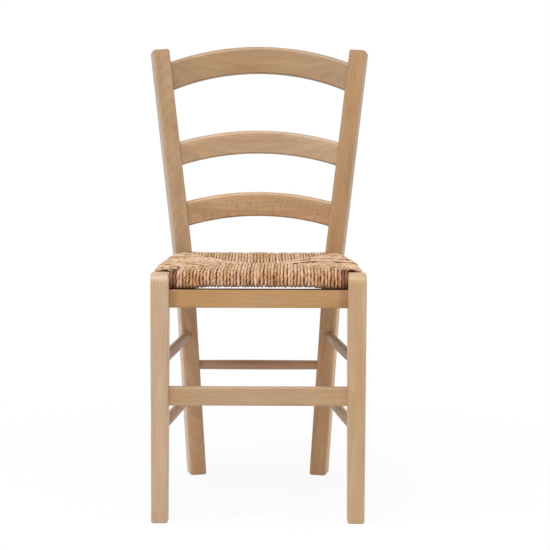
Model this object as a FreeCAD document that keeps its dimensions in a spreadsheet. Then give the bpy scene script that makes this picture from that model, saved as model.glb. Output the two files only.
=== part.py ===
import FreeCAD, Part
import math
import os
import Sketcher
from FreeCAD import Vector

# A ladderback chair in solid beech with a woven rush seat. Millimetres and degrees, +Z up,
# the front towards -Y, the origin on the floor under the middle of the chair.

SIZES = {
    # Front legs
    "front_spread": 387.8,
    "front_ahead": 238,
    "leg_top_wide": 33.8,
    "leg_foot_wide": 30.8,
    "leg_deep": 36,
    "leg_tall": 456,
    "leg_top_round": 20,
    "leg_edge_round": 3.5,
    "foot_chamfer": 2.5,
    # Rear posts, bent where the seat meets them, turned inward and leaning outward
    "post_gap": 300.6,
    "post_behind": 366.8,
    "post_wide": 34.5,
    "post_deep": 36,
    "post_tall": 867.5,
    "bend_drop": 26,
    "bend_round": 400,
    "back_top": 80,
    "back_foot": 28,
    "post_turn": 15,
    "post_lean": 4.29,
    "post_edge_round": 6,
    "post_top_chamfer": 2.5,
    # Slats; a rise is from the post tops, from midway between the other two slats, or from the legs
    "slat_thick": 15,
    "slat_bend": 620,
    "slat_front_round": 7,
    "slat_back_ease": 2.5,
    "slat_low_ease": 1.8,
    "slat_shoulder": 7,
    "slat_tenon_thick": 9,
    "slat_tip_short": 3,
    "top_slat_rise": 10,
    "top_slat_high": 55.5,
    "top_slat_arch": 468,
    "middle_slat_rise": -23.5,
    "middle_slat_high": 46.8,
    "middle_slat_arch": 518,
    "lower_slat_rise": 126,
    "lower_slat_high": 49,
    "lower_slat_arch": 522,
    # Flat rails between the front legs
    "rail_recess": 6,
    "rail_thick": 19,
    "rail_round": 2.5,
    "rail_shoulder": 5,
    "rail_tenon_thick": 10,
    "apron_drop": 29,
    "apron_high": 33.5,
    "front_stretcher_top": 249,
    "front_stretcher_high": 33.4,
    # Turned stretchers, thickest in the middle
    "side_stretcher_thick": 19.8,
    "rear_stretcher_thick": 19.8,
    "stretcher_end_thick": 18.4,
    "stretcher_tip_short": 2,
    "upper_side_height": 293,
    "lower_side_height": 172,
    "rear_stretcher_height": 230.5,
    # Seat rails that carry the rush
    "seat_rail_drop": 1.8,
    "seat_rail_high": 19,
    "seat_rail_round": 4,
    "seat_bar_chamfer": 3,
    "front_rail_recess": 8.3,
    "front_rail_deep": 25,
    "side_rail_wide": 19,
    "side_rail_bow": 6,
    "side_rail_out": 0.5,
    "rear_rail_deep": 24,
    "seat_tenon_thick": 12,
    "side_rail_tip_short": 10,
    "cross_rail_tip_short": 3.5,
    # Rush
    "rush_layer": 5.5,
    "rush_roll_round": 9,
    "rush_under_ease": 5,
    "valley_round": 30,
    "valley_deep": 2.2,
    "seam_half": 38,
    "seam_behind": 193,
    # Clearances
    "mortise_clearance": 0.15,
    "mortise_end_clearance": 1,
    "rush_clearance": 0.3,
}

doc = FreeCAD.newDocument("ladderback_chair")
sheet = doc.addObject("Spreadsheet::Sheet", "sizes")
for row, (alias, number) in enumerate(SIZES.items(), 1):
    sheet.set(f"A{row}", alias.replace("_", " "))
    sheet.set(f"B{row}", str(number))
    sheet.setAlias(f"B{row}", alias)
doc.recompute()

# Places worked out from the sizes, as formulas
FRONT_Y = "(-sizes.front_ahead)"
LEG_X = "((sizes.front_spread - sizes.leg_top_wide) / 2)"
LEG_Y = f"({FRONT_Y} + sizes.leg_deep / 2)"
POST_Y = f"({FRONT_Y} + sizes.post_behind)"
BEND_Z = "(sizes.leg_tall - sizes.bend_drop)"
BACK_RISE = f"(sizes.post_tall - {BEND_Z})"
TURN_SIN = "sin(sizes.post_turn)"
TURN_COS = "cos(sizes.post_turn)"
LEAN_TAN = "tan(sizes.post_lean)"
RAKE_SLOPE = f"({TURN_COS} * sizes.back_top / {BACK_RISE} - {TURN_SIN} * {LEAN_TAN})"
RAKE = f"atan({RAKE_SLOPE})"
SEAT_TOP = "(sizes.leg_tall - sizes.seat_rail_drop)"
APRON_TOP = "(sizes.leg_tall - sizes.apron_drop)"
RAIL_Z = f"({SEAT_TOP} - sizes.seat_rail_high / 2)"
RAIL_Y = f"({FRONT_Y} + sizes.rail_recess + sizes.rail_thick / 2)"
RUSH_WALL = "(sizes.rush_layer + sizes.rush_clearance)"
CROWNS = {
    "top_slat": "(sizes.post_tall + sizes.top_slat_rise)",
    "lower_slat": "(sizes.leg_tall + sizes.lower_slat_rise)",
}
CROWNS["middle_slat"] = f"(({CROWNS['top_slat']} + {CROWNS['lower_slat']}) / 2 + sizes.middle_slat_rise)"
TENON_GROW = "(2 * sizes.mortise_clearance)"
TIP_GROW = "(2 * sizes.mortise_end_clearance)"


def measure(formula):
    """The number that a formula gives with the sheet's present values."""
    found = sheet.evalExpression(formula)
    return float(getattr(found, "Value", found))


def post_back(height):
    """How far a post's centreline lies behind its bend, at a height above the floor."""
    if measure(height) > measure(BEND_Z):
        return f"(({height} - {BEND_Z}) * sizes.back_top / {BACK_RISE})"
    return f"(({BEND_Z} - {height}) * sizes.back_foot / {BEND_Z})"


def post_x(height):
    """The right post's centreline, sideways."""
    lean = f"({height} - {BEND_Z}) * {LEAN_TAN}"
    return f"(sizes.post_gap / 2 + {TURN_SIN} * {post_back(height)} + {TURN_COS} * {lean})"


def post_y(height):
    """The right post's centreline, front to back."""
    lean = f"({height} - {BEND_Z}) * {LEAN_TAN}"
    return f"({POST_Y} + {TURN_COS} * {post_back(height)} - {TURN_SIN} * {lean})"


def leg_inner(height):
    """The inner face of the right front leg, which tapers towards the foot."""
    taper = "(sizes.leg_top_wide - sizes.leg_foot_wide)"
    return f"(sizes.front_spread / 2 - sizes.leg_foot_wide - {taper} * {height} / sizes.leg_tall)"


def bind(thing, **formulas):
    """Ties properties to formulas over the sheet."""
    for name, formula in formulas.items():
        thing.setExpression(name, formula)


def put(thing, x="0", y="0", z="0", yaw="0", pitch="0", roll="0"):
    """Ties a piece's place and turn to formulas."""
    for path, formula in (("Base.x", x), ("Base.y", y), ("Base.z", z)):
        thing.setExpression(f"Placement.{path}", formula)
    for path, formula in (("Yaw", yaw), ("Pitch", pitch), ("Roll", roll)):
        if formula != "0":
            thing.setExpression(f"Placement.Rotation.{path}", formula)
    return thing


def new_body(name):
    return doc.addObject("PartDesign::Body", name)


def new_sketch(body, name, plane):
    """A sketch on one of the body's own origin planes."""
    sketch = body.newObject("Sketcher::SketchObject", name)
    support = next(face for face in body.Origin.OriginFeatures if face.Role == plane)
    sketch.AttachmentSupport = [(support, "")]
    sketch.MapMode = "FlatFace"
    return sketch


def fix_point(sketch, edge, end, corner):
    """Holds one end of an edge at the place that two formulas give."""
    for kind, formula in zip(("DistanceX", "DistanceY"), corner):
        rule = Sketcher.Constraint(kind, -1, 1, edge, end, measure(formula))
        number = sketch.addConstraint(rule)
        sketch.setExpression(f"Constraints[{number}]", formula)


def arc_between(start, finish, radius, side):
    """An arc of a radius between two points, bulging to the left (1) or right (-1) of its run."""
    run = finish - start
    rise = radius - math.sqrt(radius ** 2 - run.Length ** 2 / 4)
    across = Vector(-run.y, run.x, 0).normalize() * rise * side
    return Part.Arc(start, (start + finish) / 2 + across, finish)


def outline(sketch, corners, arcs=None):
    """A closed outline through corners; arcs maps an edge's number to its radius and side."""
    arcs = arcs or {}
    points = [Vector(measure(x), measure(y), 0) for x, y in corners]
    first = len(sketch.Geometry)
    count = len(corners)
    backwards = set()
    for edge, (start, finish) in enumerate(zip(points, points[1:] + points[:1])):
        if edge in arcs:
            radius, side = arcs[edge]
            curve = arc_between(start, finish, measure(radius), side)
            if side > 0:
                backwards.add(edge)
        else:
            curve = Part.LineSegment(start, finish)
        sketch.addGeometry(curve)
    for edge in range(count):
        after = (edge + 1) % count
        leaves = 1 if edge in backwards else 2
        enters = 2 if after in backwards else 1
        sketch.addConstraint(Sketcher.Constraint("Coincident", first + edge, leaves, first + after, enters))
        fix_point(sketch, first + after, enters, corners[after])
    for edge, (radius, side) in arcs.items():
        number = sketch.addConstraint(Sketcher.Constraint("Radius", first + edge, measure(radius)))
        sketch.setExpression(f"Constraints[{number}]", radius)
    return sketch


def rectangle(sketch, long, high, low="0"):
    """A rectangle centred sideways, its middle at a height of low."""
    top = f"({low} + {high} / 2)"
    foot = f"({low} - {high} / 2)"
    left = f"(-{long} / 2)"
    right = f"({long} / 2)"
    return outline(sketch, [(left, foot), (right, foot), (right, top), (left, top)])


def pad(body, sketch, length):
    """A pad by a length, half to each side of its sketch."""
    feature = body.newObject("PartDesign::Pad", sketch.Name + "_pad")
    feature.Profile = sketch
    feature.SideType = "Symmetric"
    bind(feature, Length=length)
    doc.recompute()
    return feature


def turn(body, sketch):
    """A full turn about the sketch's horizontal axis."""
    feature = body.newObject("PartDesign::Revolution", sketch.Name + "_turned")
    feature.Profile = sketch
    feature.ReferenceAxis = (sketch, ["H_Axis"])
    feature.Angle = 360
    doc.recompute()
    return feature


def edge_names(feature, wanted):
    """The names of the edges that a test picks."""
    return [f"Edge{number}" for number, edge in enumerate(feature.Shape.Edges, 1) if wanted(edge)]


def soften(body, wanted, size, kind="Fillet"):
    """A fillet or chamfer on the edges of the body's tip that a test picks."""
    base = body.Tip
    names = edge_names(base, wanted)
    feature = body.newObject(f"PartDesign::{kind}", f"{body.Name}_{kind}")
    feature.Base = (base, names)
    bind(feature, **{"Radius" if kind == "Fillet" else "Size": size})
    doc.recompute()
    return feature


def along_x(edge):
    box = edge.BoundBox
    return box.YLength < 0.01 and box.ZLength < 0.01


def passes(edge, point):
    """True where an edge passes through a point."""
    return edge.distToShape(Part.Vertex(point))[0] < 0.05


def join(name, kind, base, tool):
    """A cut, fuse or common of two pieces."""
    result = doc.addObject(f"Part::{kind}", name)
    result.Base = base
    result.Tool = tool
    return result


def several(name, pieces):
    """Pieces joined as one tool."""
    result = doc.addObject("Part::MultiFuse", name)
    result.Shapes = pieces
    return result


def mirrored(name, source):
    """The left-hand twin of a right-hand piece."""
    result = doc.addObject("Part::Mirroring", name)
    result.Source = source
    result.Normal = Vector(1, 0, 0)
    result.Base = Vector(0, 0, 0)
    return result


def leg_blank():
    """A front leg before its mortises, tapered on the inner side, its top front edge rounded over."""
    body = put(new_body("leg_blank"), y=LEG_Y)
    outer = "(sizes.front_spread / 2)"
    sketch = new_sketch(body, "leg_face", "XZ_Plane")
    outline(sketch, [(leg_inner("0"), "0"), (outer, "0"), (outer, "sizes.leg_tall"),
                     (leg_inner("sizes.leg_tall"), "sizes.leg_tall")])
    pad(body, sketch, "sizes.leg_deep")
    tall = measure("sizes.leg_tall")
    front = -measure("sizes.leg_deep") / 2
    soften(body, lambda edge: along_x(edge) and passes(edge, Vector(measure(LEG_X), front, tall)),
           "sizes.leg_top_round")
    soften(body, lambda edge: edge.CenterOfMass.z > 1, "sizes.leg_edge_round")
    soften(body, lambda edge: edge.BoundBox.ZMax < 0.01, "sizes.foot_chamfer", "Chamfer")
    return body


def post_blank(name, spare="0"):
    """A rear post before its mortises: a bent, sawn bar, turned, leaning and cut flat on the floor."""
    body = put(new_body(name), x="sizes.post_gap / 2", y=POST_Y, z=BEND_Z,
               yaw="-sizes.post_turn", pitch="sizes.post_lean")
    lean_cos = "cos(sizes.post_lean)"
    half = f"(sizes.post_deep / 2 + {spare})"
    upper = f"atan(sizes.back_top * {lean_cos} / {BACK_RISE})"
    lower = f"atan(sizes.back_foot * {lean_cos} / {BEND_Z})"
    apart = f"(({upper} - {lower}) / 2)"
    bend = f"(({upper} + {lower}) / 2)"
    bend_u = f"({half} * cos({apart}) / cos({bend}))"
    bend_v = f"({half} * sin({apart}) / cos({bend}))"
    top_v = f"({BACK_RISE} / {lean_cos})"
    foot_v = f"(-({BEND_Z} / {lean_cos} + sizes.post_wide))"
    foot_u = f"(sizes.back_foot + sizes.post_wide * tan({lower}))"
    foot_half = f"({half} / cos({lower}))"
    profile = new_sketch(body, f"{name}_side", "YZ_Plane")
    outline(profile, [
        (f"(sizes.back_top - {half} * cos({upper}))", f"({top_v} + {half} * sin({upper}))"),
        (f"(-{bend_u})", bend_v),
        (f"({foot_u} - {foot_half})", foot_v),
        (f"({foot_u} + {foot_half})", foot_v),
        (bend_u, f"(-{bend_v})"),
        (f"(sizes.back_top + {half} * cos({upper}))", f"({top_v} - {half} * sin({upper}))"),
    ])
    pad(body, profile, f"(sizes.post_wide + 2 * {spare})")
    front_bend = Vector(0, -measure(bend_u), measure(bend_v))
    soften(body, lambda edge: along_x(edge) and passes(edge, front_bend), f"(sizes.bend_round + {half})")
    rear_bend = Vector(0, measure(bend_u), -measure(bend_v))
    soften(body, lambda edge: along_x(edge) and passes(edge, rear_bend), f"(sizes.bend_round - {half})")
    side = measure(f"(sizes.post_wide / 2 + {spare})")
    tall = measure("sizes.post_deep")
    soften(body, lambda edge: abs(abs(edge.CenterOfMass.x) - side) < 0.01 and edge.BoundBox.ZLength > tall,
           f"(sizes.post_edge_round + {spare})")
    shoulder = measure(top_v) - measure(half) * math.sin(math.radians(measure(upper)))
    soften(body, lambda edge: edge.BoundBox.ZMin > shoulder - 0.1, "sizes.post_top_chamfer", "Chamfer")
    floor = doc.addObject("Part::Box", f"{name}_floor")
    bind(floor, Length="2 * sizes.front_spread", Width="2 * sizes.front_spread",
         Height="2 * sizes.post_wide")
    put(floor, x="-sizes.front_spread", y=f"{POST_Y} - sizes.front_spread", z="-2 * sizes.post_wide")
    return join(f"{name}_on_floor", "Cut", body, floor)


def post_foot(blank):
    """The small chamfer round the foot of a post."""
    doc.recompute()
    result = doc.addObject("Part::Chamfer", "post_foot")
    result.Base = blank
    size = measure("sizes.foot_chamfer")
    edges = enumerate(blank.Shape.Edges, 1)
    result.Edges = [(number, size, size) for number, edge in edges if edge.BoundBox.ZMax < 0.01]
    return result


def slat_places(slat):
    """Formulas for a slat: half span between post centres, sweep radius, bow, place in the raked back."""
    high = f"sizes.{slat}_high"
    crown = CROWNS[slat]
    half_span = post_x(f"({crown} - {high})")
    sweep = f"(1 / sqrt(1 / sizes.{slat}_arch ^ 2 + 1 / sizes.slat_bend ^ 2))"
    bow = sweep_drop(sweep, "sizes.slat_bend", half_span)
    up = f"(({crown} - {BEND_Z} + {bow} * sin({RAKE})) / cos({RAKE}) - {high})"
    place = {
        "y": f"({POST_Y} + {up} * sin({RAKE}))",
        "z": f"({BEND_Z} + {up} * cos({RAKE}))",
        "roll": f"(-{RAKE})",
    }
    return high, half_span, sweep, bow, place


def sweep_drop(sweep, radius, across):
    """How far a slat's sweep falls back (radius: its bend) or down (radius: its arch), this far across."""
    return f"({sweep} / {radius} * ({sweep} - sqrt({sweep} ^ 2 - {across} ^ 2)))"


def slat_tenon(name, slat, grow="0", tip_grow="0"):
    """The right tenon of a slat, or with growth the mortise that takes it."""
    high, half_span, sweep, bow, place = slat_places(slat)
    drop = sweep_drop(sweep, f"sizes.{slat}_arch", f"({half_span} - sizes.post_wide / 2)")
    body = put(new_body(name), **place)
    plan = new_sketch(body, f"{name}_plan", "XY_Plane")
    plan.setExpression("AttachmentOffset.Base.z", f"{high} / 2 - {drop}")
    root = f"({half_span} - sizes.post_wide)"
    tip = f"({half_span} - sizes.slat_tip_short + {tip_grow})"
    centre = f"({bow} - sizes.slat_bend)"
    outer = f"(sizes.slat_bend + (sizes.slat_tenon_thick + {grow}) / 2)"
    inner = f"(sizes.slat_bend - (sizes.slat_tenon_thick + {grow}) / 2)"
    corners = [(side, f"({centre} + sqrt({radius} ^ 2 - {side} ^ 2))")
               for side, radius in ((root, outer), (tip, outer), (tip, inner), (root, inner))]
    outline(plan, corners, {0: (outer, 1), 2: (inner, -1)})
    pad(body, plan, f"({high} - 2 * sizes.slat_shoulder + {grow})")
    return body


def slat_board(slat):
    """A slat before the posts trim it: its rounded section swept round a leaning axis, which bows and
    arches it in one turn."""
    high, half_span, sweep, bow, place = slat_places(slat)
    body = put(new_body(f"{slat}_board"), **place)
    front = f"({bow} - sizes.slat_thick / 2)"
    back = f"({bow} + sizes.slat_thick / 2)"
    low_ease, back_ease = "sizes.slat_low_ease", "sizes.slat_back_ease"
    front_round = "sizes.slat_front_round"
    section = new_sketch(body, f"{slat}_section", "YZ_Plane")
    outline(section, [
        (f"({front} + {low_ease})", "0"), (f"({back} - {low_ease})", "0"),
        (back, low_ease), (back, f"({high} - {back_ease})"),
        (f"({back} - {back_ease})", high), (f"({front} + {front_round})", high),
        (front, f"({high} - {front_round})"), (front, low_ease),
    ], {5: (front_round, -1)})
    arch = f"sizes.{slat}_arch"
    centre = (f"({bow} - {sweep} ^ 2 / sizes.slat_bend)", f"({high} - {sweep} ^ 2 / {arch})")
    axis = section.addGeometry(Part.LineSegment(Vector(0, 0, 0), Vector(1, -1, 0)), True)
    fix_point(section, axis, 1, centre)
    fix_point(section, axis, 2, (f"({centre[0]} + sizes.slat_bend)", f"({centre[1]} - {arch})"))
    board = body.newObject("PartDesign::Revolution", f"{slat}_sweep")
    board.Profile = section
    board.ReferenceAxis = (section, ["Axis0"])
    board.Midplane = True
    end = f"({half_span} - sizes.post_wide / 8)"
    bind(board, Angle=f"(2 * asin({end} / ({sweep} - {high} / 2)))")
    doc.recompute()
    return body


def front_rail_parts(name, top, high, thick, edge_round, place_y, shoulder, tenon_thick, tip_short):
    """A flat rail between the front legs and the mortise tool for its tenons."""
    middle = f"({top} - {high} / 2)"
    foot = f"({top} - {high})"
    body = put(new_body(name), y=place_y)
    face = new_sketch(body, f"{name}_face", "XZ_Plane")
    outline(face, [(f"(-{leg_inner(foot)})", foot), (leg_inner(foot), foot),
                   (leg_inner(top), top), (f"(-{leg_inner(top)})", top)])
    pad(body, face, thick)
    soften(body, along_x, edge_round)
    tips = f"(2 * ({LEG_X} - {tip_short}))"
    tenon_high = f"({high} - 2 * {shoulder})"
    tenon = new_sketch(body, f"{name}_tenon", "XZ_Plane")
    pad(body, rectangle(tenon, tips, tenon_high, middle), tenon_thick)
    mortise = put(new_body(f"{name}_mortise"), y=place_y)
    hole = new_sketch(mortise, f"{name}_hole", "XZ_Plane")
    rectangle(hole, f"({tips} + {TIP_GROW})", f"({tenon_high} + {TENON_GROW})", middle)
    pad(mortise, hole, f"({tenon_thick} + {TENON_GROW})")
    return body, mortise


def turned_bar(name, place, length, thick):
    """A turned stretcher that swells from its tenons to the middle, and its mortise tool."""
    end = "(sizes.stretcher_end_thick / 2)"
    tip = f"({length} / 2 - sizes.stretcher_tip_short)"
    swell = f"({thick} / 2 - {end})"
    radius = f"(({tip} ^ 2 + {swell} ^ 2) / (2 * {swell}))"
    body = put(new_body(name), **place)
    profile = [(f"(-{tip})", "0"), (tip, "0"), (tip, end), (f"(-{tip})", end)]
    turn(body, outline(new_sketch(body, f"{name}_profile", "XY_Plane"), profile, {2: (radius, -1)}))
    reach = f"({tip} + sizes.mortise_end_clearance)"
    mouth = f"(({length} - sizes.leg_deep) / 2)"
    wall = f"({end} + {swell} * (1 - {mouth} ^ 2 / {tip} ^ 2) + sizes.mortise_clearance)"
    mortise = put(new_body(f"{name}_mortise"), **place)
    hole = new_sketch(mortise, f"{name}_hole", "XY_Plane")
    turn(mortise, outline(hole, [(f"(-{reach})", "0"), (reach, "0"), (reach, wall), (f"(-{reach})", wall)]))
    return body, mortise


def side_place(height, out="0"):
    """Place and length of a right side member, from the front leg's middle to the post's."""
    far_x = f"({post_x(height)} + {out})"
    far_y = post_y(height)
    run_x = f"({far_x} - {LEG_X})"
    run_y = f"({far_y} - {LEG_Y})"
    place = {
        "x": f"(({far_x} + {LEG_X}) / 2)",
        "y": f"(({far_y} + {LEG_Y}) / 2)",
        "z": height,
        "yaw": f"atan2({run_y}; {run_x})",
    }
    return place, f"sqrt({run_x} ^ 2 + {run_y} ^ 2)"


def bow_radius(length, grow="0"):
    """The radius of the bowed outer edge of a side rail, or of what lies round it."""
    bow = "sizes.side_rail_bow"
    return f"(({length} ^ 2 / 4 + {bow} ^ 2) / (2 * {bow}) + {grow})"


def bowed_plan(sketch, length, inner, outer, grow="0"):
    """A bar's plan with a straight inner edge and a bowed outer edge, towards -Y."""
    return outline(sketch, [(f"(-{length} / 2)", f"(-{outer})"), (f"({length} / 2)", f"(-{outer})"),
                            (f"({length} / 2)", inner), (f"(-{length} / 2)", inner)],
                   {0: (bow_radius(length, grow), -1)})


def bar_tenon(name, place, length, tip_short, grow="0", tip_grow="0"):
    """A square bar through a seat rail: its ends are the tenons, or with growth the mortises."""
    body = put(new_body(name), **place)
    sketch = new_sketch(body, f"{name}_face", "XZ_Plane")
    thick = f"(sizes.seat_tenon_thick + {grow})"
    rectangle(sketch, f"({length} - 2 * {tip_short} + {tip_grow})", thick)
    pad(body, sketch, thick)
    return body


def seat_bar(name, place, length, half_wide, bowed, hosts, tip_short):
    """A seat rail trimmed by what it meets, with its tenons, and its mortise tool."""
    body = put(new_body(f"{name}_bar"), **place)
    plan = new_sketch(body, f"{name}_plan", "XY_Plane")
    if bowed:
        bowed_plan(plan, length, half_wide, half_wide)
    else:
        rectangle(plan, length, f"(2 * {half_wide})")
    pad(body, plan, "sizes.seat_rail_high")
    half_length = measure(f"({length} / 2)")
    soften(body, lambda edge: edge.Length > half_length, "sizes.seat_bar_chamfer", "Chamfer")
    trimmed = join(f"{name}_trimmed", "Cut", body, hosts)
    tenon = bar_tenon(f"{name}_tenon", place, length, tip_short)
    piece = join(name, "Fuse", trimmed, tenon)
    return piece, bar_tenon(f"{name}_mortise", place, length, tip_short, TENON_GROW, TIP_GROW)


def seat_plan(sketch, grow, front, rear, corner_y):
    """The seat's plan, its rail lines moved out by grow; its corners lie inside legs and posts."""
    place, length = side_place(RAIL_Z, "sizes.side_rail_out")
    angle = place["yaw"]
    out = f"(sizes.side_rail_wide / 2 + {grow})"
    start = (f"({LEG_X} + {out} * sin({angle}))", f"({LEG_Y} - {out} * cos({angle}))")
    far_x = f"({post_x(RAIL_Z)} + sizes.side_rail_out + {out} * sin({angle}))"
    far_y = f"({post_y(RAIL_Z)} - {out} * cos({angle}) + sizes.post_deep / 4)"
    radius = bow_radius(length, grow)
    rear_x = f"({post_x(RAIL_Z)} - sizes.post_wide / 4)"
    right = [(LEG_X, front), (LEG_X, start[1]), start, (far_x, far_y), (rear_x, corner_y), (rear_x, rear)]
    left = [(f"(-{x})", y) for x, y in reversed(right)]
    return outline(sketch, right + left, {2: (radius, -1), 8: (radius, -1)})


def seat_slab(name, grow, low, high):
    """The seat's plan as a slab between two heights."""
    front = f"({FRONT_Y} + sizes.front_rail_recess - {grow})"
    rear = f"({post_y(RAIL_Z)} + sizes.rear_rail_deep / 2 + {grow})"
    body = put(new_body(name), z=f"(({low} + {high}) / 2)")
    sketch = new_sketch(body, f"{name}_plan", "XY_Plane")
    seat_plan(sketch, grow, front, rear, post_y(RAIL_Z))
    pad(body, sketch, f"({high} - {low})")
    return body


def valley(name, start, finish, surface, side):
    """A shallow hollow where two fields of rush meet, above (1) or under (-1) the seat."""
    run_x = f"({finish[0]} - {start[0]})"
    run_y = f"({finish[1]} - {start[1]})"
    length = f"sqrt({run_x} ^ 2 + {run_y} ^ 2)"
    tool = doc.addObject("Part::Cylinder", name)
    bind(tool, Radius="sizes.valley_round", Height=length)
    lift = f"({surface} + {side} * (sizes.valley_round - sizes.valley_deep))"
    return put(tool, x=start[0], y=start[1], z=lift, yaw=f"atan2({run_y}; {run_x})", pitch="90")


def rush_valleys(surface, side):
    """The four mitres from the corners and the seam that joins them."""
    back = post_y(RAIL_Z)
    seam_y = f"({FRONT_Y} + sizes.seam_behind)"
    tools = []
    for sign in ("", "-"):
        seam_end = (f"({sign}sizes.seam_half)", seam_y)
        corners = ((f"({sign}{LEG_X})", LEG_Y), (f"({sign}{post_x(RAIL_Z)})", back))
        for number, corner in enumerate(corners):
            tools.append(valley(f"valley_{side + 1}_{len(sign)}_{number}", corner, seam_end, surface, side))
    ends = (("(-sizes.seam_half)", seam_y), ("sizes.seam_half", seam_y))
    tools.append(valley(f"seam_{side + 1}", ends[0], ends[1], surface, side))
    return tools


def rush_seat(legs, posts):
    """The woven seat as one closed skin over its rails: rolled edges, mitred hollows, a gap inside."""
    top = f"({SEAT_TOP} + {RUSH_WALL})"
    low = f"({SEAT_TOP} - sizes.seat_rail_high - {RUSH_WALL})"
    slab = seat_slab("rush_slab", RUSH_WALL, low, top)
    half = measure(f"(({top} - {low}) / 2)")
    shortest = measure("sizes.post_gap") / 2

    def long_edge_at(level):
        return lambda edge: (edge.BoundBox.ZLength < 0.01 and abs(edge.BoundBox.ZMax - level) < 0.01
                             and edge.Length > shortest)

    soften(slab, long_edge_at(half), "sizes.rush_roll_round")
    soften(slab, long_edge_at(-half), "sizes.rush_under_ease", "Chamfer")
    inside = seat_slab("rush_inside", "sizes.rush_clearance",
                       f"({SEAT_TOP} - sizes.seat_rail_high - sizes.rush_clearance)",
                       f"({SEAT_TOP} + sizes.rush_clearance)")
    hollows = several("rush_hollows", rush_valleys(top, 1))
    under_hollows = several("rush_under_hollows", rush_valleys(low, -1))
    skin = join("rush_skin", "Cut", slab, inside)
    upper = join("rush_upper", "Cut", skin, hollows)
    both = join("rush_both", "Cut", upper, under_hollows)
    clear_of_legs = join("rush_clear_of_legs", "Cut", both, legs)
    return join("rush_seat", "Cut", clear_of_legs, posts)


def leg_notches():
    """The room that the rush leaves round the front legs."""
    boxes = []
    for side in ("", "-"):
        notch = doc.addObject("Part::Box", f"leg_notch_{len(side)}")
        spare = "sizes.rush_clearance"
        bind(notch, Length=f"sizes.leg_top_wide + 2 * {spare}", Width=f"sizes.leg_deep + 2 * {spare}",
             Height="sizes.leg_tall")
        boxes.append(put(notch, x=f"{side}{LEG_X} - sizes.leg_top_wide / 2 - {spare}",
                         y=f"{FRONT_Y} - {spare}", z=f"{APRON_TOP} - sizes.apron_high"))
    return several("leg_notches", boxes)


def seat_stuffing():
    """The packing between the two layers of rush, inside the four rails."""
    gap = "sizes.rush_clearance"
    side, length = side_place(RAIL_Z, "sizes.side_rail_out")
    angle = side["yaw"]
    inset = f"((sizes.side_rail_wide / 2 + {gap}) / sin({angle}))"
    slope = f"(({post_x(RAIL_Z)} + sizes.side_rail_out - {LEG_X}) / ({post_y(RAIL_Z)} - {LEG_Y}))"
    front = f"({FRONT_Y} + sizes.leg_deep + {gap})"
    rear = f"({post_y(RAIL_Z)} - sizes.post_deep / 2 - sizes.post_wide * {TURN_SIN} / 2 - {gap})"
    front_x = f"({LEG_X} + ({front} - {LEG_Y}) * {slope} - {inset})"
    rear_x = f"({LEG_X} + ({rear} - {LEG_Y}) * {slope} - {inset})"
    body = put(new_body("seat_stuffing"), z=RAIL_Z)
    plan = new_sketch(body, "stuffing_plan", "XY_Plane")
    outline(plan, [(f"(-{front_x})", front), (front_x, front), (rear_x, rear), (f"(-{rear_x})", rear)])
    pad(body, plan, "sizes.seat_rail_high")
    return body


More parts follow.
